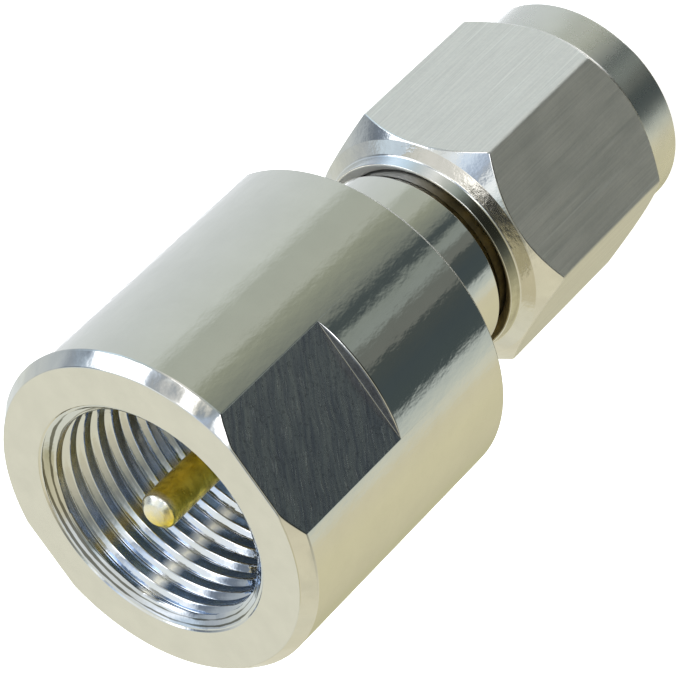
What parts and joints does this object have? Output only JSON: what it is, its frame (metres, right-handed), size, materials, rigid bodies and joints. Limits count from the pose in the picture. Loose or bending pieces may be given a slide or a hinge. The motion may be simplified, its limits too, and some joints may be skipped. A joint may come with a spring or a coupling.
{
  "type": "coaxial adapter",
  "caption": "Straight coaxial adapter: a turned shell with an internally threaded mouth, wrench flats and a centre pin, on a plug with a free-turning hex coupling nut.",
  "frame": {"origin": "centre of the front face of the SMA coupling nut, which the adapter stands on", "axes": "+Z along the common axis, from the SMA plug to the mouth of the FME plug; +Y square to one of the two wrench flats"},
  "size_m": [0.0113, 0.0114, 0.0229],
  "materials": {
    "nickel": "polished",
    "spring_bronze": "satin",
    "silicone": "matte",
    "ptfe": "satin",
    "gold_plate": "gloss"
  },
  "bodies": {
    "adapter": {"fme_body": "nickel", "sma_ferrule": "nickel", "sma_gasket": "silicone", "fme_insulator": "ptfe", "sma_insulator": "ptfe", "centre_contact": "gold_plate"},
    "ring": {"retaining_ring": "spring_bronze"},
    "nut": {"sma_coupling_nut": "nickel"}
  },
  "joints": [
    {"name": "nut_play", "type": "slide", "parent": "adapter", "child": "ring", "axis": [0, 0, 1], "range_m": [-0.0003, 0]},
    {"name": "nut_spin", "type": "hinge", "parent": "ring", "child": "nut", "pos_m": [0, 0, 0], "axis": [0, 0, 1], "continuous": true}
  ]
}
